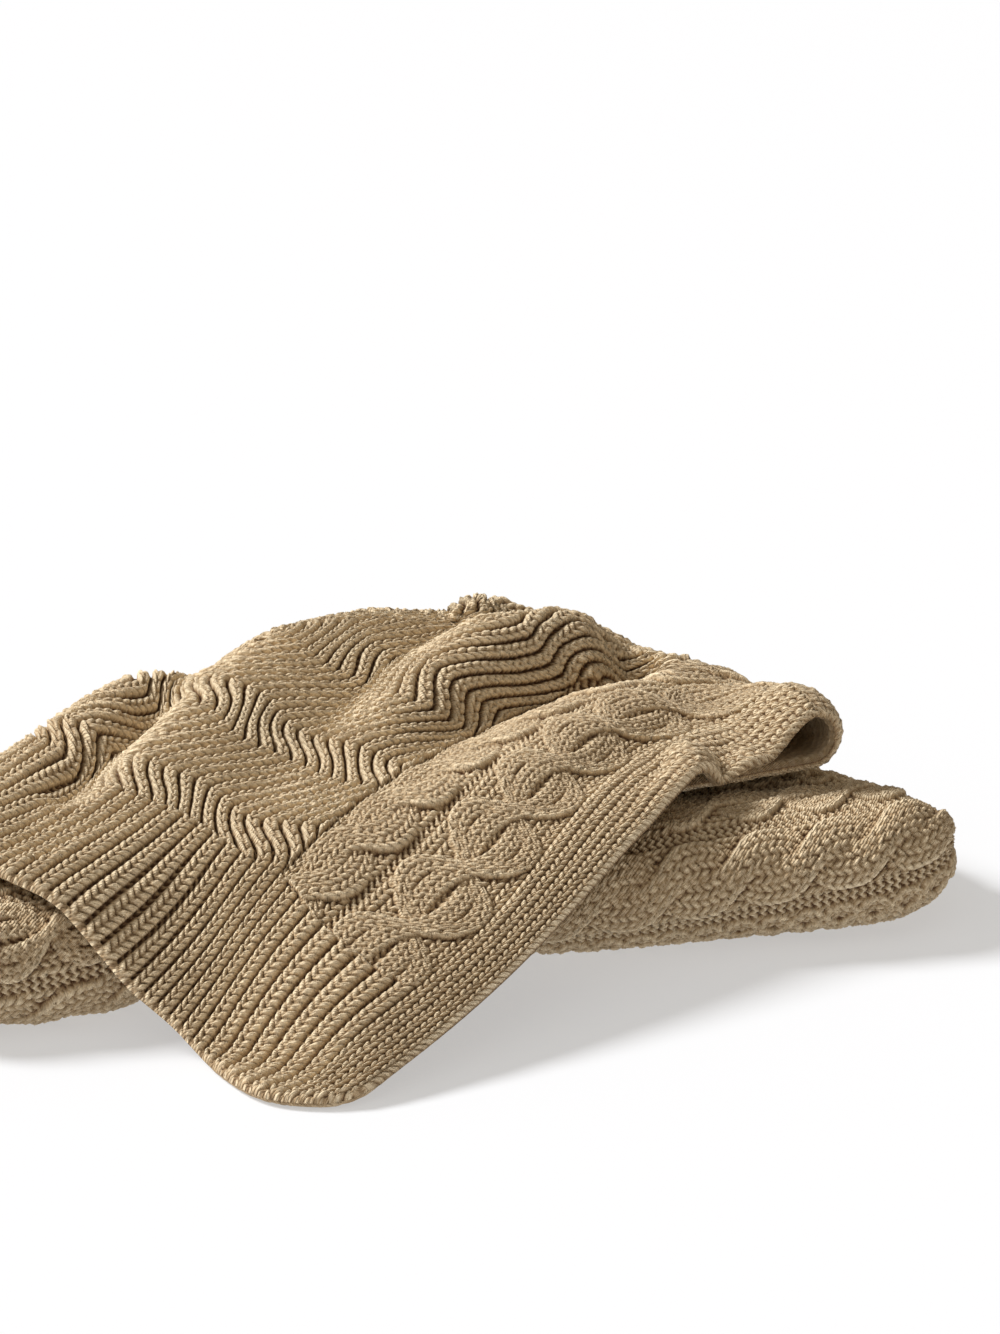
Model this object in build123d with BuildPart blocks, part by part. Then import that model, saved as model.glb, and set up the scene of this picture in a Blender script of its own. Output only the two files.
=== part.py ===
from build123d import *
from math import atan2, cos, degrees, hypot, radians, sin
import os

# A heavy cable-knit throw, folded into a bundle with its loose end laid over the top. Millimetres.
# X runs along the bundle, Y from front to back, Z up. The origin is on the resting surface, under the
# middle of the whole throw's box. The throw is one knitted cloth: each solid is a region or a layer of it.

CLOTH = 8.0  # thickness of one layer of the loose cloth
GAP = 0.4  # clearance between neighbouring solids

# The bundle
BUNDLE_LENGTH = 630.0
BUNDLE_HEIGHT = 80.0
BUNDLE_FRONT = -70.0  # y of the foremost point of the rounded front
BUNDLE_BACK = 208.8
WRAP = 11.0  # thickness of the lofty layer that goes round the bundle
ROLL_RADIUS = 38.0  # of the front, and of the right end
PLAN_RADIUS = 60.0  # of the bundle's front right corner, seen from above
END_SKEW = 0.42  # how far the right end runs to the left, for each millimetre towards the back
BACK_START = -120.0  # x where the back edge begins to run forward, towards the left end
BACK_LEFT = 122.0  # y of the left end's back corner
INNER_LAYERS = ("bundle_base_layer", "bundle_lower_fold", "bundle_middle_fold", "bundle_upper_fold")

# The hinge line, where the loose flap leaves the bundle's front top edge
HINGE_Y = -30.0
HINGE_Z = 108.0
RAMP_ANGLE = 28.5  # slope of the flap down to the resting surface, in degrees
HINGE_ROOM = 6.0  # the flap starts this far in front of the hinge line

# The loose cloth, seen from above
CORNER = (-95.0, -210.0)
HINGE_EDGE = (137.0, HINGE_Y)  # where the side edge crosses the hinge line
FOLD_FRONT = (228.0, 8.0)  # where the side edge turns under, at the right
HEM_TURN = (-226.0, -77.0)
HEM_END = (-300.0, 60.0)
BORDER_WIDTH = 39.0
HEM_DEPTH = 105.0
HEM_ANGLE = 12.0  # direction of the wales at the hem's far end, from X

# Heights of the loose cloth's upper face across its folds: place, height in front, height at the back
FOLD_HEIGHTS = (
    (-300.0, 96.0, 96.0),
    (-210.0, 98.0, 128.0),
    (-165.0, 96.0, 102.0),
    (-100.0, 108.0, 158.5),
    (-40.0, 106.0, 114.0),
    (30.0, 108.0, 145.0),
    (85.0, 110.0, 112.0),
    (150.0, 116.0, 124.0),
    (245.0, 130.0, 130.0),
)
FOLD_ANGLE = 58.0  # direction in which the folds run, from X
FOLD_START = -190.0  # how far the folds run along that direction, from the origin
FOLD_STOP = 235.0

# The turn at the right, where the loose cloth goes round and back underneath itself
TURN_ANGLE = 24.6  # direction in which the cloth leaves, from X
TURN_RADIUS = 24.0  # outer radius
TURN_RUN = 80.0  # length of cloth turned back underneath
TURN_LENGTH = 150.0  # along the fold

# The care label
LABEL_WIDTH = 26.0
LABEL_DROP = 36.0
LABEL_THICK = 1.2
LABEL_X = 60.0

os.makedirs("parts", exist_ok=True)


def along(point, angle, distance):
    """The point at a distance from another, in a direction seen from above."""
    return (point[0] + distance * cos(radians(angle)), point[1] + distance * sin(radians(angle)))


def write(part, name):
    part.label = name
    export_step(part, f"parts/{name}.step")


def bundle_outline(inset):
    """The bundle seen from above, open sides kept, with the front and the right end moved in."""
    slant = hypot(1, END_SKEW)
    front = BUNDLE_FRONT + inset
    corner_x = half_length + PLAN_RADIUS * (slant + END_SKEW - 1) - END_SKEW * inset - slant * inset
    back_x = corner_x - END_SKEW * (BUNDLE_BACK - front)
    return [
        (-half_length, front),
        (corner_x, front),
        (back_x, BUNDLE_BACK),
        (BACK_START, BUNDLE_BACK),
        (-half_length, BACK_LEFT),
    ]


# Bundle: one outer layer round the front and the right end, open at the back and the left
half_length = BUNDLE_LENGTH / 2
depth = BUNDLE_BACK - BUNDLE_FRONT

with BuildPart() as bundle_outer_wrap:
    with BuildSketch(Plane.XY):
        with BuildLine():
            Polyline(*bundle_outline(0), close=True)
        make_face()
        fillet(vertices().sort_by(Axis.X)[-1], PLAN_RADIUS)
    extrude(amount=BUNDLE_HEIGHT)
    rounded = edges().filter_by(lambda e: abs(e.center().Z - BUNDLE_HEIGHT / 2) > 1).filter_by(
        lambda e: e.center().Y < BUNDLE_FRONT + 1 or (e.center().X > 100 and e.center().Y < BUNDLE_BACK - 1)
    )
    fillet(rounded, ROLL_RADIUS)
    with BuildSketch(Plane.XY.offset(WRAP)):
        with BuildLine():
            Polyline(*bundle_outline(ROLL_RADIUS), close=True)
        make_face()
    extrude(amount=BUNDLE_HEIGHT - 2 * WRAP, mode=Mode.SUBTRACT)
write(bundle_outer_wrap.part, "bundle_outer_wrap")

# The folded layers inside it, each with its rounded fold at the back
layer_pitch = (BUNDLE_HEIGHT - 2 * WRAP) / len(INNER_LAYERS)
for index, name in enumerate(INNER_LAYERS):
    with BuildPart() as inner_layer:
        with BuildSketch(Plane.XY.offset(WRAP + layer_pitch * index + GAP)):
            with BuildLine():
                Polyline(*bundle_outline(ROLL_RADIUS + GAP), close=True)
            make_face()
        extrude(amount=layer_pitch - GAP)
        fillet(edges().filter_by(Axis.X).group_by(Axis.Y)[-1], (layer_pitch - GAP) / 2 - 0.1)
    write(inner_layer.part, name)

# Regions of the loose cloth, seen from above
wale_angle = degrees(atan2(HINGE_EDGE[1] - CORNER[1], HINGE_EDGE[0] - CORNER[0]))
border_inner_corner = along(CORNER, wale_angle + 90, BORDER_WIDTH)
border_inner_hinge = along(HINGE_EDGE, wale_angle + 90, BORDER_WIDTH)
border_inner_fold = along(FOLD_FRONT, TURN_ANGLE + 90, BORDER_WIDTH)
hem_inner_corner = along(border_inner_corner, wale_angle, HEM_DEPTH)
hem_inner_turn = along(HEM_TURN, (wale_angle + HEM_ANGLE) / 2, HEM_DEPTH)
hem_inner_end = along(HEM_END, HEM_ANGLE, HEM_DEPTH)
turn_far = along(FOLD_FRONT, TURN_ANGLE + 90, TURN_LENGTH)
back_right = (70.0, BUNDLE_BACK - 4)
back_left = (-80.0, BUNDLE_BACK - 12)
REGIONS = {
    "side_border": [CORNER, HINGE_EDGE, FOLD_FRONT, border_inner_fold, border_inner_hinge, border_inner_corner],
    "rib_hem": [
        border_inner_corner,
        hem_inner_corner,
        hem_inner_turn,
        hem_inner_end,
        HEM_END,
        HEM_TURN,
    ],
    "cable_panel": [
        hem_inner_corner,
        border_inner_hinge,
        border_inner_fold,
        turn_far,
        back_right,
        back_left,
        hem_inner_end,
        hem_inner_turn,
    ],
}


def upright(origin, angle):
    """A vertical plane through a point, whose x axis points in the given direction from above and y axis up."""
    direction = (cos(radians(angle)), sin(radians(angle)), 0)
    return Plane(origin=origin, x_dir=direction, z_dir=(direction[1], -direction[0], 0))


def fold_profile(place_along, column):
    """The loose cloth's section across its folds: a wavy layer of even height."""
    plane = upright((*along((0, 0), FOLD_ANGLE, place_along), 0), FOLD_ANGLE - 90)
    with BuildSketch(plane) as profile:
        with BuildLine():
            upper = Spline(*[(row[0], row[column]) for row in FOLD_HEIGHTS])
            lower = Spline(*[(row[0], row[column] - CLOTH) for row in FOLD_HEIGHTS])
            Line(upper @ 0, lower @ 0)
            Line(upper @ 1, lower @ 1)
        make_face()
    return profile.sketch


# The loose cloth where it lies on the bundle, behind the hinge line
for region, outline in REGIONS.items():
    with BuildPart() as top_region:
        with BuildSketch(Plane.XY):
            with BuildLine():
                Polyline(*outline, close=True)
            make_face()
            with Locations((0, HINGE_Y)):
                Rectangle(
                    2 * BUNDLE_LENGTH,
                    2 * depth,
                    align=(Align.CENTER, Align.MIN),
                    mode=Mode.INTERSECT,
                )
        extrude(amount=2 * HINGE_Z)
        wavy = loft(
            [fold_profile(FOLD_START, 1), fold_profile(FOLD_STOP, 2)], ruled=True, mode=Mode.PRIVATE
        )
        add(wavy, mode=Mode.INTERSECT)
    write(top_region.part, f"top_{region}")

# The same regions where they hang off the front as one sloping flap, in front of the hinge line
slope = radians(RAMP_ANGLE)
ramp = Plane(origin=(0, HINGE_Y, HINGE_Z), x_dir=(1, 0, 0), z_dir=(0, -sin(slope), cos(slope)))
for region, outline in REGIONS.items():
    with BuildPart() as flap_region:
        with BuildSketch(ramp):
            with BuildLine():
                Polyline(*[(x, (y - HINGE_Y) / cos(slope)) for x, y in outline], close=True)
            make_face()
            with Locations((0, -HINGE_ROOM)):
                Rectangle(
                    2 * BUNDLE_LENGTH,
                    2 * depth,
                    align=(Align.CENTER, Align.MAX),
                    mode=Mode.INTERSECT,
                )
        extrude(amount=-CLOTH)
    write(flap_region.part, f"flap_{region}")

# The end of the loose cloth, turned round and back underneath it
with BuildPart() as turned_under_end:
    with BuildSketch(upright((*FOLD_FRONT, BUNDLE_HEIGHT + GAP + TURN_RADIUS), TURN_ANGLE)):
        Circle(TURN_RADIUS)
        Circle(TURN_RADIUS - CLOTH, mode=Mode.SUBTRACT)
        Rectangle(TURN_RUN * 2, TURN_RADIUS * 2, align=(Align.MAX, Align.CENTER), mode=Mode.SUBTRACT)
        with Locations((0, -TURN_RADIUS)):
            Rectangle(TURN_RUN, CLOTH, align=(Align.MAX, Align.MIN))
    extrude(amount=-TURN_LENGTH)
write(turned_under_end.part, "turned_under_end")

# Care label, a folded blank tag sewn under the bundle's back edge
with BuildPart() as care_label:
    with BuildSketch(Plane.XZ.offset(-BUNDLE_BACK)):
        with Locations((LABEL_X, BUNDLE_HEIGHT - WRAP / 2)):
            Rectangle(LABEL_WIDTH, LABEL_DROP, align=(Align.CENTER, Align.MAX))
    extrude(amount=-LABEL_THICK)
    fillet(edges().filter_by(Axis.Y).group_by(Axis.Z)[0], 2)
write(care_label.part, "care_label")
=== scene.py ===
import bpy
import numpy as np
from mathutils import Matrix, Vector


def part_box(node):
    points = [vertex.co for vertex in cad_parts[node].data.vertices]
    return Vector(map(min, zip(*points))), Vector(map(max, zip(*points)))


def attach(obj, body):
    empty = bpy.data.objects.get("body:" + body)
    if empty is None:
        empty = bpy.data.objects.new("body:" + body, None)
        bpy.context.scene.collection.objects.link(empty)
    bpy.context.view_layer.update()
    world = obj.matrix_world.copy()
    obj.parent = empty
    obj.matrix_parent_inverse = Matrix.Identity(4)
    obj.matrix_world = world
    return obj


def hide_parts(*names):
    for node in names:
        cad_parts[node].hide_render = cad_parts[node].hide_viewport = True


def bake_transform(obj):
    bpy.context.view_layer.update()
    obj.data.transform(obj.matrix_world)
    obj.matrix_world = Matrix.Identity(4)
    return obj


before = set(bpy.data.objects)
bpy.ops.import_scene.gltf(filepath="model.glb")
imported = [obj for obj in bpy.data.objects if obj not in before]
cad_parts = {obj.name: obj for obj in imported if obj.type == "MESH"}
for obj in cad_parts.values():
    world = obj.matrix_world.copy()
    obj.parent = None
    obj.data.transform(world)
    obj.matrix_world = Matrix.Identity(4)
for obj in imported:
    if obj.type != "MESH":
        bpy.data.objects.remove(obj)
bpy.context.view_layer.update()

# A cable-knit throw: a folded bundle with its loose end laid over the top. The cloth is worked out in
# millimetres and written to the meshes in metres. Every piece of knitting is one grid over a smooth base
# surface, lifted along its normals by the stitches, with a second grid for the underside.

MM = 0.001
DRAFT = 1.0

# Yarn and gauge
WALE = 7.5  # width of one column of stitches
ROW = 5.4  # height of one stitch
LEG = 2.5  # how far a stitch's leg stands out of the cloth
LEAN = 0.8  # how far a leg climbs, in rows, from the middle of its stitch to its side
CORE = 2.6  # half the cloth's thickness under the stitches
RIB_PITCH = 11.6  # one knit and one purl column

# Regions of the loose cloth
BORDER = 39.0
HEM = 105.0
LOOSE_WIDTH = 402.0
TURN_RUN = 95.0  # length of cloth turned back underneath at the far end

# The bundle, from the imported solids
wrap_low, wrap_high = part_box("bundle_outer_wrap")
BUNDLE_LEFT, BUNDLE_RIGHT = wrap_low.x / MM, wrap_high.x / MM
BUNDLE_FRONT, BUNDLE_BACK = wrap_low.y / MM, wrap_high.y / MM
BUNDLE_TOP = wrap_high.z / MM
ROLL = BUNDLE_TOP / 2  # radius of the rounded front
ROLL_Y = BUNDLE_FRONT + ROLL
END_SKEW = 0.42  # how far the right end runs to the left, for each millimetre towards the back


def bundle_back(x):
    """How far back the bundle reaches at x: its folds aren't stacked squarely towards the left end."""
    return BUNDLE_BACK - 86 * smooth((-110 - x) / 200)


def bulge(x):
    """How far the bundle's front swells forward towards its left end."""
    return 30 * smooth((-140 - x) / 110)


def to_plan(x, y):
    """y moved forward with the back edge, in proportion to how far behind the front roll it is."""
    share = np.clip((y - ROLL_Y) / (BUNDLE_BACK - ROLL_Y), 0, 1)
    return y - share * (BUNDLE_BACK - bundle_back(x))


def pillow(x, y):
    """How far the bundle's top sinks towards the back of its right end."""
    return 15 * smooth((x - 140) / 140) * smooth((y + 30) / 100)


# --- small maths -------------------------------------------------------------------------------------

def smooth(t):
    t = np.clip(t, 0, 1)
    return t * t * (3 - 2 * t)


def round_off(t):
    """A half-circle's height over t from -1 to 1."""
    return np.sqrt(np.clip(1 - t * t, 0, 1))


def soft_min(a, b, width):
    share = np.clip(0.5 + 0.5 * (b - a) / width, 0, 1)
    return b * (1 - share) + a * share - width * share * (1 - share)


def soft_max(a, b, width):
    return -soft_min(-a, -b, width)


def spline(knots, values, places):
    """A natural cubic spline through values at knots, read at the places. Values may have more axes."""
    knots, values = np.asarray(knots, float), np.asarray(values, float)
    count, step = len(knots), np.diff(knots)
    system, right = np.eye(count), np.zeros((count, count))
    for i in range(1, count - 1):
        system[i, i - 1 : i + 2] = step[i - 1], 2 * (step[i - 1] + step[i]), step[i]
        right[i, i - 1 : i + 2] = 6 / step[i - 1], -6 / step[i - 1] - 6 / step[i], 6 / step[i]
    flat = values.reshape(count, -1)
    bend = np.linalg.solve(system, right @ flat)
    i = np.clip(np.searchsorted(knots, places, side="right") - 1, 0, count - 2)
    width = (knots[i + 1] - knots[i])[:, None]
    after, before = (places - knots[i])[:, None], (knots[i + 1] - places)[:, None]
    curve = (bend[i] * before**3 + bend[i + 1] * after**3) / (6 * width)
    line = (flat[i] / width - bend[i] * width / 6) * before
    line += (flat[i + 1] / width - bend[i + 1] * width / 6) * after
    return (curve + line).reshape((len(places),) + values.shape[1:])


def lengths(points):
    """Distance along each line of points, from its start."""
    steps = np.linalg.norm(np.diff(points, axis=-2), axis=-1)
    return np.concatenate([np.zeros_like(steps[..., :1]), np.cumsum(steps, axis=-1)], axis=-1)


def even_places(low, high, step):
    """Places a step apart, with an even number of steps, so that every second one is in a coarser grid."""
    count = 2 * max(2, int(round((high - low) / step / 2)))
    return np.linspace(low, high, count + 1)


def wander(a, b, seed):
    """A slow, even wander between -1 and 1, as hand-laid cloth has."""
    return 0.5 * np.sin(a * 1.7 + b * 0.9 + seed) + 0.5 * np.sin(b * 1.3 - a * 0.6 + 2.1 * seed)


# --- stitches ----------------------------------------------------------------------------------------

def chance(a, b):
    """An even, repeatable scatter between 0 and 1 for pairs of numbers."""
    value = np.sin(a * 127.1 + b * 311.7) * 43758.5453
    return value - np.floor(value)


def chains(place, v, body, leg=LEG):
    """Columns of knit stitches, each a chain of Vs. place counts the columns from one side, and v runs
    along them in millimetres. body is how far each column bulges, and leg how far its legs stand out."""
    column = np.floor(place)
    across = 2 * (place - column) - 1
    side = np.abs(across)
    climb = v / ROW - LEAN * side + 0.4 * chance(column, 7.0)
    row = np.floor(climb)
    size = 0.78 + 0.44 * chance(row, column + 0.3 * np.sign(across))
    profile = round_off(side) ** 0.7 * (0.45 + 0.55 * smooth(side / 0.4))
    rise = round_off(1.1 * (2 * (climb - row) - 1)) ** 0.9
    return body * round_off(across) ** 0.8 + leg * size * profile * rise


def plain(u, v, width):
    """Plain knit columns side by side."""
    return 0.4 + chains(u / width * max(1, round(width / WALE)), v, 1.3)


def purl(u, v, width=None):
    """The back of the stitches: one short bar for each row, and a hole between each bar and the next."""
    climb = v / ROW + 0.25 * np.sin(u * 1.4)
    row = np.floor(climb)
    size = 0.8 + 0.4 * chance(row, 3.0)
    return 2.1 * size * round_off(1.5 * (2 * (climb - row) - 1)) - 1.3


def strand(u, v, centre, width, count, lift, swell=2.0):
    """A strand of knit columns that travels over the ground, or far below it where it isn't."""
    place = (u - centre) / (width / 2)
    columns_across = np.clip((place + 1) / 2 * count, 0, count - 1e-6)
    height = 0.8 + swell * round_off(place) ** 0.8 + lift + chains(columns_across, v, 0.35, 1.9)
    return np.where(np.abs(place) < 1, height, -9.0)


def sway(v, period, phase, sharp):
    return np.tanh(sharp * np.cos(2 * np.pi * v / period + phase)) / np.tanh(sharp)


def rope(u, v, width):
    """Two thick strands twisted round each other."""
    count = max(2, round(width / WALE * 0.6))
    period, height = 2.1 * width, chains(u / WALE, v, 0.5) - 0.6
    for turn in (0, np.pi):
        centre = width / 2 + 0.22 * width * sway(v, period, turn, 1.2)
        lift = 1.7 * np.sin(2 * np.pi * v / period + turn)
        height = np.maximum(height, strand(u, v, centre, 0.56 * width, count, lift, 2.6))
    return height


def lattice(u, v, width):
    """Two pairs of narrow strands that open into an eye inside an eye, and cross."""
    height, period = chains(u / WALE, v, 0.6) - 0.7, 2.1 * width
    for spread, size, sharp in ((0.385, 0.235, 0.8), (0.145, 0.22, 0.9)):
        for turn in (0, np.pi):
            centre = width / 2 + spread * width * sway(v, period, turn, sharp)
            lift = 1.1 * np.sin(2 * np.pi * v / period + turn)
            height = np.maximum(height, strand(u, v, centre, size * width, 2, lift, 1.6))
    return height


def braid(u, v, width):
    """Slanting strands, plaited."""
    height, period = chains(u / WALE, v, 0.5) - 0.6, 2.2 * width
    for turn in (0, 2 * np.pi / 3, 4 * np.pi / 3):
        angle = 2 * np.pi * v / period + turn
        lift = 1.1 * np.cos(2 * angle)
        centre = width * (0.5 + 0.32 * np.sin(angle))
        height = np.maximum(height, strand(u, v, centre, 0.38 * width, 2, lift, 1.5))
    return height


def ribs(u, v, gutter=-0.2):
    """Single knit columns with purl gutters between them."""
    place = u / RIB_PITCH
    across = (place - np.floor(place) - 0.5) * RIB_PITCH / 4.6
    column = 0.6 + chains(np.floor(place) + np.clip((across + 1) / 2, 0, 1 - 1e-6), v, 1.7)
    return np.where(np.abs(across) < 1, column, purl(u, v) + gutter)


def travelling_ribs(u, v, width):
    """The hem's ribs carried on: they step to one side, run back on a long slant, and step again."""
    along = (v - HEM - 6) / 100 + u / 1100 + 0.11 * np.sin(u / 37) + 0.04 * np.sin(u / 14 + v / 31)
    share = along - np.floor(along)
    climb = np.where(share < 0.38, share / 0.38, (1 - share) / 0.62)
    swing = 0.5 * smooth(climb) + 0.5 * climb
    reach = 27 + 5 * np.sin(1.9 * np.floor(along) + 0.4)
    return ribs(u + RIBS_START - BORDER - reach * swing * (along > 0), v, -0.6)


KINDS = {
    "plain": plain,
    "purl": purl,
    "rope": rope,
    "lattice": lattice,
    "braid": braid,
    "ribs": travelling_ribs,
}
LOOSE_COLUMNS = [("plain", BORDER), ("lattice", 53), ("purl", 4), ("rope", 43.4), ("purl", 4), ("ribs", 300)]
RIBS_START = BORDER + 9 * RIB_PITCH  # where the travelling ribs begin, in from the side edge
BUNDLE_REPEAT = [("rope", 43), ("purl", 9), ("braid", 27), ("purl", 9), ("lattice", 42), ("purl", 9)]
ROPE_MIDDLE = 275.0  # arc length from the bundle's top back edge to the middle of the front's big cable


def wrong_side(u, v):
    """Rows of small bumps, as the back of plain knitting has."""
    row = np.floor(v / ROW)
    bump = round_off(2 * (u / WALE - np.floor(u / WALE + 0.5 * (row % 2))) - row % 2 - 1)
    return round_off(2 * (v / ROW - row) - 1) * (0.5 + 0.5 * bump)


def fluff(u, v):
    """The unevenness of loosely spun yarn."""
    loops = chance(np.round(u / 2.1 + 0.2 * np.sin(v)), np.round(v / 1.8 + 0.2 * np.sin(u)))
    return 0.45 * (chance(np.round(u / 0.9), np.round(v / 0.8)) - 0.5) + 0.35 * (loops - 0.5)


def columns(u, v, layout, start):
    """Relief of a row of pattern columns, the first of which begins at start."""
    height = np.zeros_like(u)
    for kind, width in layout:
        here = (u >= start) & (u < start + width)
        if here.any():
            height[here] = KINDS[kind](u[here] - start, v[here], width)
        start += width
    return height


def loose_relief(u, v):
    """The loose cloth: side border, ribbed hem, and cable panel."""
    warped = u + 0.7 * wander(u / 60, v / 45, 1.0)
    height = columns(warped, v, LOOSE_COLUMNS, 0.0)
    hem = (v < HEM + 2 * np.sin(u / 19)) & (warped >= BORDER)
    height[hem] = ribs(warped[hem] - BORDER, v[hem])
    return np.where(v < 4, np.maximum(height, 1.2), height) + fluff(u, v)


def bundle_relief(u, v):
    repeat = sum(width for _, width in BUNDLE_REPEAT)
    u = u + 0.11 * (v - 150) + 1.2 * wander(u / 70, v / 60, 2.0)
    start = ROPE_MIDDLE - BUNDLE_REPEAT[0][1] / 2 - 3 * repeat
    return columns(u, v, BUNDLE_REPEAT * 7, start) + fluff(u, v)


def cavity(height, reach):
    """How far each place stands above the cloth round it, as 0 to 1. reach is in grid steps. The yarn colour
    uses it as painted shade in the hollows and painted light on the crowns.
    """
    level = height
    for axis in (0, 1):
        pad = [(reach + 1, reach) if a == axis else (0, 0) for a in (0, 1)]
        total = np.cumsum(np.pad(level, pad, mode="edge"), axis=axis)
        ahead = [slice(2 * reach + 1, None) if a == axis else slice(None) for a in (0, 1)]
        behind = [slice(None, -2 * reach - 1) if a == axis else slice(None) for a in (0, 1)]
        level = (total[tuple(ahead)] - total[tuple(behind)]) / (2 * reach + 1)
    return np.clip(0.55 + (height - level) / 2.4, 0, 1)


# --- the loose cloth's base surface ------------------------------------------------------------------

# Lines of stitches seen from above, from the hem to the far fold, and how far each is from the side edge
LINE_PLACES = (0, 50, 108, 164, 230, 296, 360, 402)
LINES = (
    ((-92, -217), (20, -140), (134, -38), (180, -8), (228, 5)),
    ((-138, -200), (-10, -115), (85, -10), (155, 48), (216, 52)),
    ((-164, -149), (-60, -70), (40, 30), (125, 98), (194, 98)),
    ((-192, -118), (-105, -49), (-5, 65), (85, 135), (160, 140)),
    ((-236, -88), (-163, -24), (-60, 85), (30, 160), (112, 172)),
    ((-281, -48), (-218, 5), (-125, 100), (-40, 172), (45, 190)),
    ((-301, 8), (-256, 55), (-190, 125), (-110, 175), (-20, 192)),
    ((-304, 45), (-272, 78), (-203, 142), (-118, 188), (-26, 203)),
)

# Folds: the crest's points (x, y, height above the cloth round it), and how far each side falls away
FOLDS = (
    (
        ((-210, -25, 2), (-165, 45, 13), (-112, 120, 18), (-65, 170, 22), (-10, 186, 24), (25, 190, 20)),
        42,
        80,
    ),
    (((-30, 60, 5), (10, 108, 20), (60, 138, 31), (98, 150, 33), (112, 148, 30)), 38, 34),
    (((62, 184, 17), (90, 192, 19)), 28, 24),
    (((-275, -20, 4), (-255, 22, 6), (-216, 72, 9), (-181, 118, 12), (-141, 150, 14)), 42, 34),
    (((-90, -100, 3), (0, -40, 8), (79, 30, 12), (140, 85, 9), (190, 100, -3)), 42, 38),
    (((120, -45, 6), (146, -24, 13), (150, 0, 8)), 20, 16),
    (((-215, 15, -8), (-160, 100, -12), (-125, 170, -10)), 26, 26),
    (((-10, 30, -3), (40, 75, -10), (90, 110, -12), (128, 122, -10)), 34, 26),
    (((168, -12, -7), (175, 15, -3)), 16, 16),
    (((118, 104, -6), (150, 122, -20)), 24, 22),
)


def fold(x, y, crest, left, right):
    """Height of one fold over x and y: the crest's own height there, less with distance from the crest."""
    height = np.zeros_like(x)
    for start, end in zip(np.array(crest[:-1], float), np.array(crest[1:], float)):
        run = end - start
        share = np.clip(((x - start[0]) * run[0] + (y - start[1]) * run[1]) / (run[:2] @ run[:2]), 0, 1)
        away = np.hypot(x - start[0] - share * run[0], y - start[1] - share * run[1])
        on_left = run[0] * (y - start[1]) > run[1] * (x - start[0])
        near = np.clip(1 - (away / np.where(on_left, left, right)) ** 2, 0, 1) ** 2
        piece = (start[2] + share * run[2]) * near
        height = np.where(np.abs(piece) > np.abs(height), piece, height)
    return height


def loose_height(x, y):
    """Height of the loose cloth's middle over a place on the plan."""
    height = 94 + 0.10 * (y - ROLL_Y)
    for crest, left, right in FOLDS:
        height = height + fold(x, y, crest, left, right)
    # It rises towards the far fold at the right, most along the side edge
    height = height + 39 * smooth((0.909 * x + 0.416 * y - 176) / 45) * np.clip(1 - (y - 10) / 80, 0.25, 1)
    # In front it slopes down to the resting surface, more steeply towards the left
    local = y + bulge(x)
    steep = 0.53 + 0.0049 * soft_max(-97 - x, 0 * x, 30)
    height = soft_min(height, 103 - steep * (ROLL_Y - local), 16)
    height = soft_max(height, 0 * x + CORE + 2.0, 9)
    # Over the front roll it is never lower than the bundle
    ahead = np.clip(ROLL_Y - local, 0, None)
    over_roll = ROLL + 3 + np.sqrt((ROLL + 6) ** 2 - np.minimum(ahead, 36) ** 2)
    over_roll = over_roll - 1.26 * np.clip(ahead - 36, 0, None)
    return np.where(ahead > 0, soft_max(height, over_roll, 5), height)


def loose_lines():
    """The cloth's lines of stitches in space: over the top, round the far fold, and back underneath."""
    across = np.linspace(0, LOOSE_WIDTH, 101)
    rows = spline(LINE_PLACES, LINES, across)
    stations = np.linspace(0, 1, len(LINES[0]))
    plan = spline(stations, rows.transpose(1, 0, 2), np.linspace(0, 1, 560)).transpose(1, 0, 2)
    height = loose_height(plan[..., 0], plan[..., 1])
    settle = smooth((across[:, None] - 356) / 46)
    resting = BUNDLE_TOP + CORE + 4.5 + 3 * wander(plan[..., 0] / 22, plan[..., 1] / 26, 3.0)
    top = np.dstack([plan, height + settle * (np.minimum(resting, height) - height)])
    leave = plan[:, -1] - plan[:, -12]
    leave = leave / np.linalg.norm(leave, axis=1)[:, None]
    floor = BUNDLE_TOP + CORE + 1.5 + 8 * smooth(1 - across / 70)
    radius = np.maximum((top[:, -1, 2] - floor) / 2, 3.0)
    floor = (top[:, -1, 2] - 2 * radius)[:, None]
    turn = np.linspace(0, np.pi, 61)[1:]
    out, down = np.sin(turn)[None, :] * radius[:, None], (1 - np.cos(turn))[None, :] * radius[:, None]
    bend = np.dstack([top[:, -1:, :2] + leave[:, None, :] * out[..., None], top[:, -1, 2][:, None] - down])
    back = np.linspace(0, TURN_RUN, 80)[1:]
    under_plan = top[:, -1:, :2] - leave[:, None, :] * back[None, :, None]
    under = np.dstack([under_plan, np.broadcast_to(floor, under_plan.shape[:2])])
    return across, top, np.concatenate([top[:, -1:], bend, under], axis=1)


# --- meshes ------------------------------------------------------------------------------------------

def normals_of(points):
    """Unit normals of a grid of points."""
    a, b = np.gradient(points, axis=0), np.gradient(points, axis=1)
    n = np.cross(a, b)
    return n / np.maximum(np.linalg.norm(n, axis=2, keepdims=True), 1e-9)


def grid_faces(first, rows, cols, flip):
    index = first + np.arange(rows * cols).reshape(rows, cols)
    quads = np.stack([index[:-1, :-1], index[1:, :-1], index[1:, 1:], index[:-1, 1:]], axis=-1).reshape(-1, 4)
    return index, quads[:, ::-1] if flip else quads


def rim_faces(fine, coarse, flip):
    """Triangles between an edge of the upper grid and the same edge of the coarser under grid."""
    a, b, c = fine[0:-2:2], fine[1::2], fine[2::2]
    low, high = coarse[:-1], coarse[1:]
    faces = np.concatenate([np.c_[a, b, low], np.c_[b, high, low], np.c_[b, c, high]])
    return faces[:, ::-1] if flip else faces


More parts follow.
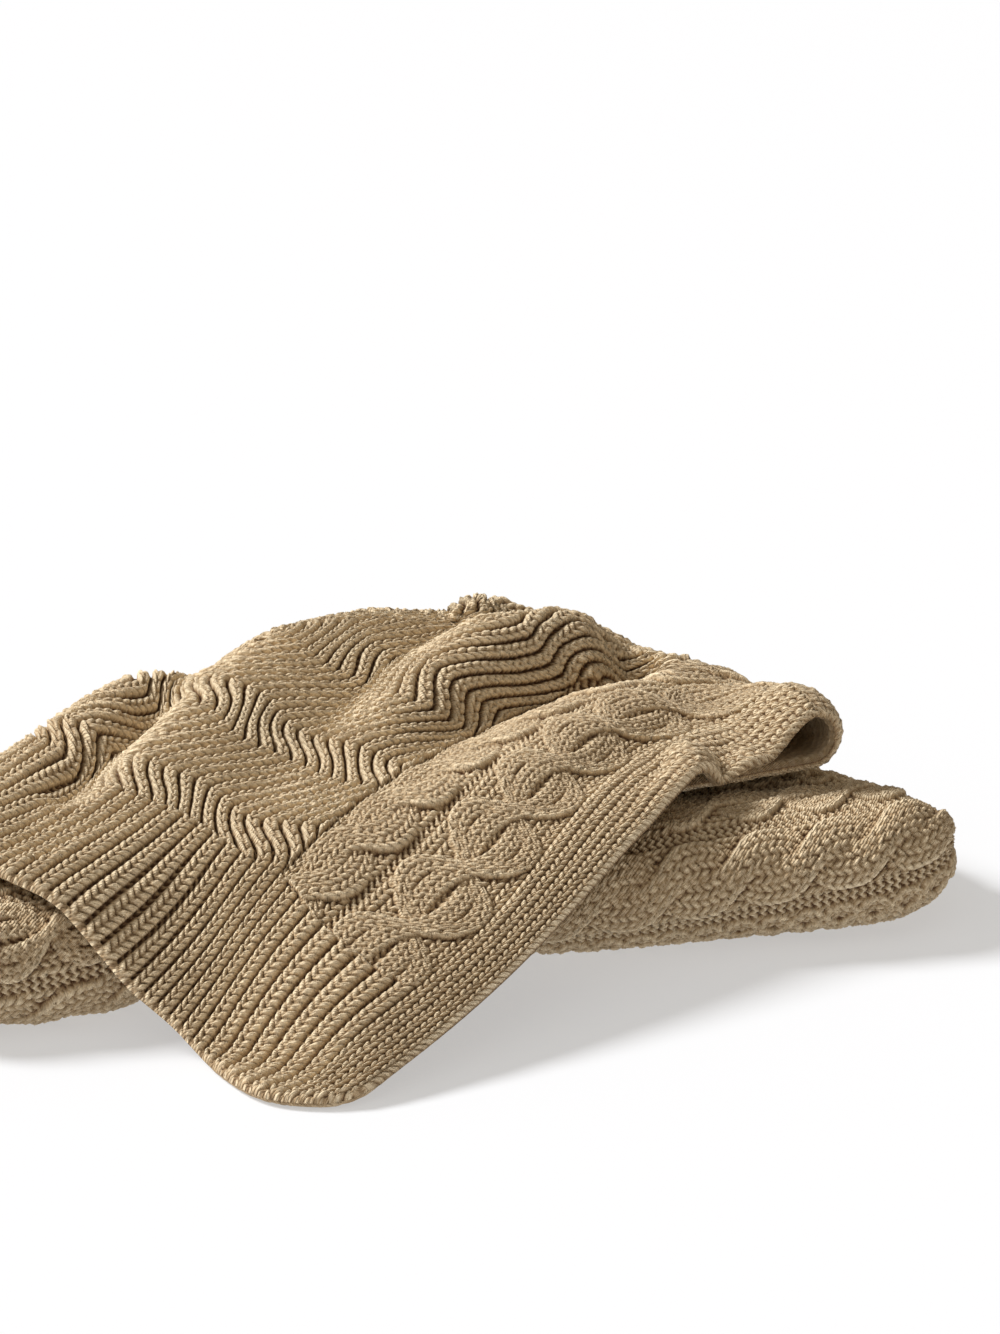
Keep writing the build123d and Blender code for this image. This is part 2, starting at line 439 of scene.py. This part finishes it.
def write_mesh(name, points, quads, triangles, values, cloth, uv):
    mesh = bpy.data.meshes.new(name)
    loops = np.concatenate([quads.ravel(), triangles.ravel()])
    sizes = np.concatenate([np.full(len(quads), 4), np.full(len(triangles), 3)])
    mesh.vertices.add(len(points))
    mesh.vertices.foreach_set("co", (points * MM).astype(np.float32).ravel())
    mesh.loops.add(len(loops))
    mesh.loops.foreach_set("vertex_index", loops.astype(np.int32))
    mesh.polygons.add(len(sizes))
    mesh.polygons.foreach_set("loop_start", (np.cumsum(sizes) - sizes).astype(np.int32))
    mesh.polygons.foreach_set("use_smooth", np.ones(len(sizes), bool))
    mesh.update(calc_edges=True)
    # The relief attribute is painted shade and light for the yarn colour: low in the hollows, high on the
    # crowns.
    relief = mesh.attributes.new("relief", "FLOAT", "POINT")
    relief.data.foreach_set("value", values.astype(np.float32))
    place = mesh.attributes.new("cloth", "FLOAT_VECTOR", "POINT")
    place.data.foreach_set("vector", cloth.astype(np.float32).ravel())
    layer = mesh.uv_layers.new(name="OFBake")
    layer.data.foreach_set("uv", uv[loops].astype(np.float32).ravel())
    mesh.validate()
    piece = bpy.data.objects.new(name, mesh)
    bpy.context.scene.collection.objects.link(piece)
    return piece


def knit(name, base, normal, u, v, relief, material, edges=(), under_relief=0.12, core=CORE, upward=True):
    """A closed piece of knitting over a grid of base points. u and v are the cloth's own coordinates at
    each point. edges names the sides, of u0 u1 v0 v1, where the cloth really ends and is rounded off."""
    height = relief(u, v)
    normal = normal * (1 if upward else -1)
    taper = np.ones(u.shape)
    depth = core + 2.5
    for side, run in (("u0", u - u[:1]), ("u1", u[-1:] - u), ("v0", v - v[:, :1]), ("v1", v[:, -1:] - v)):
        if side in edges:
            taper = taper * round_off(1 - np.clip(run / depth, 0, 1))
    front = base + normal * ((core + height) * taper)[..., None]
    coarse = (slice(None, None, 2), slice(None, None, 2))
    back_height = core + under_relief * (3 - height[coarse]) + (core > 1) * wrong_side(u[coarse], v[coarse])
    back = base[coarse] - normal[coarse] * (back_height * taper[coarse])[..., None]
    rows, cols = u.shape
    top_index, top_quads = grid_faces(0, rows, cols, not upward)
    low_index, low_quads = grid_faces(rows * cols, *back.shape[:2], upward)
    rims = [
        rim_faces(top_index[0], low_index[0], not upward),
        rim_faces(top_index[-1], low_index[-1], upward),
        rim_faces(top_index[:, 0], low_index[:, 0], upward),
        rim_faces(top_index[:, -1], low_index[:, -1], not upward),
    ]
    # The colour values below are painted shade and painted light: low in the hollows between stitches, high
    # on their crowns. On the underside they come from its rows of bumps, darker between them.
    painted_shade_and_light = cavity(height, max(2, round(2.1 / float(np.abs(v[0, 1] - v[0, 0])))))
    values = np.concatenate([painted_shade_and_light.ravel(), np.clip(0.3 + 0.4 * wrong_side(u, v)[coarse], 0, 1).ravel()])
    places = np.dstack([u, v, 0 * u])
    cloth = np.concatenate([places.reshape(-1, 3), places[coarse].reshape(-1, 3)])
    i, j = np.meshgrid(np.linspace(0, 1, rows), np.linspace(0, 1, cols), indexing="ij")
    uv_top = np.dstack([0.005 + 0.745 * i, 0.005 + 0.99 * j]).reshape(-1, 2)
    uv_low = np.dstack([0.76 + 0.235 * i, 0.005 + 0.99 * j])[coarse].reshape(-1, 2)
    points = np.concatenate([front.reshape(-1, 3), back.reshape(-1, 3)])
    piece = write_mesh(
        name,
        points,
        np.concatenate([top_quads, low_quads]),
        np.concatenate(rims),
        values,
        cloth,
        np.concatenate([uv_top, uv_low]),
    )
    piece.data.materials.append(material)
    return piece


# --- materials ---------------------------------------------------------------------------------------

def node(tree, kind, links=None, **settings):
    """A shader node with its inputs set or linked by name."""
    made = tree.nodes.new(kind)
    for key, value in settings.items():
        setattr(made, key, value)
    for key, value in (links or {}).items():
        if isinstance(value, bpy.types.NodeSocket):
            tree.links.new(value, made.inputs[key])
        else:
            made.inputs[key].default_value = value
    return made


def ramp(tree, factor, stops):
    made = node(tree, "ShaderNodeValToRGB", {"Fac": factor})
    elements = made.color_ramp.elements
    while len(elements) < len(stops):
        elements.new(0.5)
    for element, (place, colour) in zip(elements, stops):
        element.position = place
        element.color = (*colour, 1)
    return made.outputs["Color"]


def multiply(tree, a, b):
    """One colour times another."""
    mix = node(tree, "ShaderNodeMix", data_type="RGBA", blend_type="MULTIPLY")
    mix.inputs["Factor"].default_value = 1.0
    tree.links.new(a, mix.inputs["A"])
    tree.links.new(b, mix.inputs["B"])
    return mix.outputs["Result"]


def yarn_material():
    """Softly hairy oatmeal yarn with plies and stray fibres, with painted shade in the gutters, darker and
    warmer, and painted light on the crowns, paler.
    """
    material = bpy.data.materials.new("oatmeal_knit_yarn")
    material.use_nodes = True
    tree = material.node_tree
    shader = tree.nodes["Principled BSDF"]
    relief = node(tree, "ShaderNodeAttribute", attribute_name="relief").outputs["Fac"]
    cloth = node(tree, "ShaderNodeAttribute", attribute_name="cloth").outputs["Vector"]
    place = node(tree, "ShaderNodeTexCoord").outputs["Object"]
    # The ramp over the relief attribute paints light and shade: gutter is painted shade, dark and warm, in
    # the hollows; slope is the mid tone; crown is painted light, pale, on the tops.
    gutter, slope, crown = (0.13, 0.062, 0.026), (0.46, 0.325, 0.188), (0.87, 0.72, 0.51)
    tone = ramp(tree, relief, ((0.0, gutter), (0.42, slope), (1.0, crown)))
    fleck = node(tree, "ShaderNodeTexNoise", {"Vector": place, "Scale": 420.0, "Detail": 3.0}).outputs["Fac"]
    patch = node(tree, "ShaderNodeTexNoise", {"Vector": place, "Scale": 22.0, "Detail": 2.0}).outputs["Fac"]
    light = ramp(tree, fleck, ((0.3, (0.80, 0.78, 0.76)), (0.7, (1.16, 1.18, 1.18))))
    drift = ramp(tree, patch, ((0.3, (0.95, 0.93, 0.90)), (0.7, (1.04, 1.04, 1.03))))
    colour = multiply(tree, multiply(tree, tone, light), drift)
    tree.links.new(colour, shader.inputs["Base Color"])
    plies = node(
        tree,
        "ShaderNodeTexWave",
        {"Vector": cloth, "Scale": 0.28, "Distortion": 3.0, "Detail": 2.0, "Detail Scale": 1.5},
        bands_direction="DIAGONAL",
    ).outputs["Fac"]
    hairs = {"Vector": place, "Scale": 1100.0, "Detail": 4.0}
    fibres = node(tree, "ShaderNodeTexNoise", hairs).outputs["Fac"]
    both = node(tree, "ShaderNodeMath", {0: plies, 1: fibres}, operation="ADD").outputs[0]
    bump = node(tree, "ShaderNodeBump", {"Height": both, "Strength": 0.8, "Distance": 0.0009})
    tree.links.new(bump.outputs["Normal"], shader.inputs["Normal"])
    rough = ramp(tree, fleck, ((0.2, (0.82, 0.82, 0.82)), (0.8, (0.97, 0.97, 0.97))))
    tree.links.new(rough, shader.inputs["Roughness"])
    shader.inputs["Sheen Weight"].default_value = 0.12
    shader.inputs["Sheen Roughness"].default_value = 0.55
    shader.inputs["Sheen Tint"].default_value = (1.0, 0.93, 0.80, 1)
    shader.inputs["Specular IOR Level"].default_value = 0.18
    return material


YARN = yarn_material()


# --- pieces: the loose cloth -------------------------------------------------------------------------

def loose_region(name, lines, across, v_low, v_high, u_low, u_high, edges, step=0.72):
    """One region of the loose cloth. v_low and v_high give the region's ends for each line of stitches."""
    step = step * DRAFT
    run = lengths(lines)
    u_places = even_places(u_low, u_high, step)
    shares = even_places(0, 1, step / float((v_high - v_low).max()))
    coarse_v = v_low[:, None] + shares[None, :] * (v_high - v_low)[:, None]
    fields = np.concatenate([lines, normals_of(lines)], axis=2)
    coarse = np.empty(coarse_v.shape + (6,))
    for i in range(len(lines)):
        for axis in range(6):
            coarse[i, :, axis] = np.interp(coarse_v[i], run[i], fields[i, :, axis])
    fine = spline(across, coarse, u_places)
    base, normal = fine[..., :3], fine[..., 3:]
    normal = normal / np.linalg.norm(normal, axis=2, keepdims=True)
    v = spline(across, coarse_v, u_places)
    u = np.repeat(u_places[:, None], len(shares), axis=1)
    spacing = np.linalg.norm(np.diff(base, axis=0), axis=2) - (u_places[1] - u_places[0])
    slack = np.cumsum(np.concatenate([0 * spacing[:1], spacing * (u_places[1:, None] > RIBS_START)]), axis=0)
    slack = (slack - slack[:, :1]) * smooth((v - HEM) / 30)

    def relief(across, along):
        return loose_relief(across + slack, along)

    return knit(name, base, normal, u, v, relief, YARN, edges, upward=False)


def loose_cloth():
    across, top, far = loose_lines()
    lines = np.concatenate([top, far[:, 1:]], axis=1)
    fold_at, end_at = lengths(top)[:, -1], lengths(lines)[:, -1]
    zero = np.zeros(len(across))
    hem = zero + HEM
    corner = 18 * (1 - round_off(1 - np.clip(across / 18, 0, 1)))
    border = loose_region("knit_side_border", lines, across, corner, fold_at, 0, BORDER, ("u0", "v0"))
    ribbed = loose_region("knit_rib_hem", lines, across, zero, hem, BORDER, LOOSE_WIDTH, ("u1", "v0"))
    panel = loose_region("knit_cable_panel", lines, across, hem, fold_at, BORDER, LOOSE_WIDTH, ("u1",))
    sides = ("u0", "u1", "v1")
    under = loose_region("knit_turned_under_end", lines, across, fold_at, end_at, 0, LOOSE_WIDTH, sides, 1.0)
    return border, ribbed, panel, under, float(fold_at.mean()), float((end_at - fold_at).mean())


border, ribbed, panel, under, loose_run, under_run = loose_cloth()
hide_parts("top_side_border", "flap_side_border")
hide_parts("top_rib_hem", "flap_rib_hem")
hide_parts("top_cable_panel", "flap_cable_panel")
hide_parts("turned_under_end")


# --- pieces: the bundle ------------------------------------------------------------------------------

def wrap_section():
    """The outer layer's section in y and z, by arc length, from the top back edge round to the bottom one."""
    inset = CORE + 3.9
    radius = ROLL - inset - 1.2
    turn = np.linspace(0, np.pi, 160)
    top_y = np.linspace(BUNDLE_BACK - 3, ROLL_Y, 200)
    crown = 2.5 * np.sin(np.pi * (top_y - ROLL_Y) / (BUNDLE_BACK - ROLL_Y))
    top = np.c_[top_y, ROLL + radius + crown]
    front = np.c_[ROLL_Y - (ROLL - inset) * np.sin(turn), ROLL + radius * np.cos(turn)]
    bottom = np.c_[np.linspace(ROLL_Y, BUNDLE_BACK - 3, 200), np.full(200, ROLL - radius)]
    path = np.concatenate([top[:-1], front, bottom[1:]])
    run = lengths(path)
    return run[-1], lambda at: np.c_[np.interp(at, run, path[:, 0]), np.interp(at, run, path[:, 1])]


def bundle_wrap():
    girth, section = wrap_section()
    step = 0.95 * DRAFT
    upper = even_places(0, ROPE_MIDDLE + 75, step)
    u_places = np.concatenate([upper, even_places(ROPE_MIDDLE + 75, girth, 3 * step)[1:]])
    v_places = even_places(BUNDLE_LEFT + 2, BUNDLE_RIGHT, step)
    yz = section(u_places)
    u, x = np.meshgrid(u_places, v_places, indexing="ij")
    y, z = np.repeat(yz[:, :1], len(v_places), axis=1), np.repeat(yz[:, 1:], len(v_places), axis=1)
    share = (x - BUNDLE_LEFT) / (BUNDLE_RIGHT - BUNDLE_LEFT)
    end = BUNDLE_RIGHT - 12 - END_SKEW * np.clip(y - ROLL_Y, 0, None)
    x = BUNDLE_LEFT + 2 + (end - BUNDLE_LEFT - 2) * share
    close = np.clip((x - (end - ROLL)) / ROLL, 0, 1)
    z = ROLL + (z - ROLL) * np.maximum(round_off(close), 0.03)
    corner = np.clip((x - (end - 62)) / 62, 0, 1)
    y = y + 50 * (1 - round_off(corner)) * smooth((BUNDLE_BACK - y) / 200)
    y = to_plan(x, y) - bulge(x) * smooth((40 - y) / 90)
    z = z - pillow(x, y) * smooth((z - 20) / 50)
    sag = 1.5 * wander(x / 70, y / 60, 0.4) * smooth((z - ROLL) / 30)
    ragged = 3 * wander(y / 33, z / 30, 1.4) * smooth((BUNDLE_LEFT + 60 - x) / 60)
    base = np.dstack([x + ragged + 3, y + 1.5 * wander(x / 37, 0 * x, 0.8), z + sag + 0.5])

    def relief(across, along):
        return bundle_relief(across, along) * (1 - 0.75 * smooth((across - ROPE_MIDDLE - 50) / 30))

    return knit("knit_bundle_wrap", base, normals_of(base), u, x, relief, YARN, ("u0", "u1", "v0"), 0.1)


wrap = bundle_wrap()
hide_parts("bundle_outer_wrap")


def inner_fold(name, node_name, seed):
    """A doubled layer inside the bundle: over the top, round its fold at the back, and underneath."""
    low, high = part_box(node_name)
    half = (high.z - low.z) / MM / 2
    middle = (high.z + low.z) / MM / 2
    radius = half - 3.4
    front_y = ROLL_Y - np.sqrt(30.0**2 - (middle - ROLL) ** 2) + 2
    back_y = high.y / MM - 2 - 4 * chance(seed, 1.0)
    turn = np.linspace(0, np.pi, 40)
    top_count = 120
    top = np.c_[np.linspace(front_y, back_y - half, top_count), np.full(top_count, middle + radius)]
    bend = np.c_[back_y - half + (half - 2.6) * np.sin(turn), middle + radius * np.cos(turn)]
    path = np.concatenate([top[:-1], bend, top[::-1][1:] * (1, -1) + (0, 2 * middle)])
    run = lengths(path)
    step = 1.0 * DRAFT
    bend_at = run[top_count - 1]
    flat = even_places(0, bend_at - 30, 3)
    near = even_places(bend_at - 30, run[-1] - bend_at + 30, step)
    u_places = np.concatenate([flat[:-1], near, run[-1] - flat[::-1][1:]])
    left = even_places(BUNDLE_LEFT, BUNDLE_LEFT + 45, step)
    v_places = np.concatenate([left, even_places(BUNDLE_LEFT + 45, high.x / MM - 30, step)[1:]])
    y, z = np.interp(u_places, run, path[:, 0]), np.interp(u_places, run, path[:, 1])
    u, x = np.meshgrid(u_places, v_places, indexing="ij")
    y = y[:, None] + 2.0 * wander(x / 40, 0 * x, seed) * smooth((y[:, None] - back_y + 60) / 40)
    ragged = 6 + 5 * wander(y / 30, 0 * y, seed) + 4 * chance(seed, 2.0)
    ragged = ragged + np.where(u > run[-1] / 2, 3.0, 0.0)
    x = x + ragged * np.clip(1 - (x - BUNDLE_LEFT) / 45, 0, 1)
    sag = 1.1 * wander(x / 30, y / 28, seed + 1) * smooth((BUNDLE_LEFT + 60 - x) / 60)
    x = np.minimum(x, BUNDLE_RIGHT - 40 - END_SKEW * (y - ROLL_Y))
    z = z[:, None] - pillow(x, y) * middle / BUNDLE_TOP
    plan_y = to_plan(x, y) - bulge(x) * smooth((40 - y) / 90)
    base = np.dstack([x, plan_y, z + sag + 0.8 * wander(x / 45, y / 50, seed + 1)])

    def relief(across, along):
        return 0.6 * bundle_relief(across + 37.0 * seed, along)

    sides = ("u0", "u1", "v0")
    piece = knit(name, base, normals_of(base), u, x, relief, YARN, sides, 0.1, 2.2, upward=False)
    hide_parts(node_name)
    return piece


FOLD_NODES = ("bundle_base_layer", "bundle_lower_fold", "bundle_middle_fold", "bundle_upper_fold")
folds = [inner_fold(name.replace("bundle", "knit"), name, seed) for seed, name in enumerate(FOLD_NODES, 1)]


# --- care label --------------------------------------------------------------------------------------

def ribbon_material():
    material = bpy.data.materials.new("label_ribbon_weave")
    material.use_nodes = True
    tree = material.node_tree
    shader = tree.nodes["Principled BSDF"]
    place = node(tree, "ShaderNodeTexCoord").outputs["Object"]
    threads = {"Vector": place, "Scale": 900.0, "Distortion": 0.5}
    weave = node(tree, "ShaderNodeTexWave", threads).outputs["Fac"]
    tone = ramp(tree, weave, ((0.0, (0.74, 0.71, 0.64)), (1.0, (0.86, 0.84, 0.78))))
    tree.links.new(tone, shader.inputs["Base Color"])
    bump = node(tree, "ShaderNodeBump", {"Height": weave, "Strength": 0.3, "Distance": 0.0001})
    tree.links.new(bump.outputs["Normal"], shader.inputs["Normal"])
    shader.inputs["Roughness"].default_value = 0.42
    shader.inputs["Sheen Weight"].default_value = 0.3
    return material


def blank(u, v):
    """No relief, for the smooth ribbon."""
    return 0 * u


def care_label():
    low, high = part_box("care_label")
    columns_x = np.linspace(low.x, high.x, 15) / MM
    rows_z = np.linspace(high.z, low.z, 31) / MM
    x, z = np.meshgrid(columns_x, rows_z, indexing="ij")
    fall = (high.z / MM - z) / ((high.z - low.z) / MM)
    y = high.y / MM - 1.0 - 3.0 * fall * (1 - fall) + 0.5 * np.sin(x / 5) * fall
    base = np.dstack([x, y, z])
    along, ribbon = z[:, :1] - z, ribbon_material()
    return knit("care_label_ribbon", base, normals_of(base), x - x[:1], along, blank, ribbon, (), 0, 0.3)


label = care_label()
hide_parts("care_label")


# --- how the pieces move -----------------------------------------------------------------------------

for piece in (under, wrap, *folds, label):
    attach(piece, "folded_bundle")
for piece in (border, ribbed, panel):
    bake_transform(piece)


# --- stage, light and camera -------------------------------------------------------------------------

def stage_floor():
    mesh = bpy.data.meshes.new("studio_floor")
    mesh.from_pydata([(-15, -15, 0), (15, -15, 0), (15, 15, 0), (-15, 15, 0)], [], [(0, 1, 2, 3)])
    floor = bpy.data.objects.new("studio_floor", mesh)
    bpy.context.scene.collection.objects.link(floor)
    material = bpy.data.materials.new("studio_floor_white")
    material.use_nodes = True
    shader = material.node_tree.nodes["Principled BSDF"]
    shader.inputs["Base Color"].default_value = (0.46, 0.47, 0.49, 1)
    shader.inputs["Emission Color"].default_value = (0.985, 0.99, 1.0, 1)
    shader.inputs["Emission Strength"].default_value = 0.44
    shader.inputs["Roughness"].default_value = 0.9
    shader.inputs["Specular IOR Level"].default_value = 0.1
    mesh.materials.append(material)


def facing(direction):
    """The turn that points a light or a camera in a direction."""
    return Vector(direction).to_track_quat("-Z", "Y").to_matrix().to_4x4()


def sun(name, energy, width, direction):
    """A far light that shines in a direction, and looks so many degrees wide."""
    data = bpy.data.lights.new(name, "SUN")
    data.energy = energy
    data.angle = np.radians(width)
    light = bpy.data.objects.new(name, data)
    light.matrix_world = facing(direction)
    bpy.context.scene.collection.objects.link(light)


stage_floor()
sun("key_softbox", 4.0, 17.0, (0.67, -0.31, -0.67))
sun("front_fill", 0.25, 60.0, (0.50, 0.45, -0.74))
world = bpy.data.worlds.new("studio_world")
world.use_nodes = True
world.node_tree.nodes["Background"].inputs["Color"].default_value = (1.0, 0.88, 0.72, 1)
world.node_tree.nodes["Background"].inputs["Strength"].default_value = 0.32
bpy.context.scene.world = world

AIM = Vector((0.03, -0.02, 0.175))
DISTANCE, ACROSS = 2.0, 0.575  # how far the camera stands, and the width that it sees there
TURN, RISE = np.radians(12.0), np.radians(19.0)
look = Vector((np.sin(TURN) * np.cos(RISE), np.cos(TURN) * np.cos(RISE), -np.sin(RISE)))
camera_data = bpy.data.cameras.new("camera")
camera_data.sensor_fit = "HORIZONTAL"
camera_data.sensor_width = 36.0
camera_data.lens = 36.0 * DISTANCE / ACROSS
camera = bpy.data.objects.new("camera", camera_data)
camera.matrix_world = Matrix.Translation(AIM - look * DISTANCE) @ facing(look)
bpy.context.scene.collection.objects.link(camera)
bpy.context.scene.camera = camera
bpy.context.scene.view_settings.view_transform = "Standard"
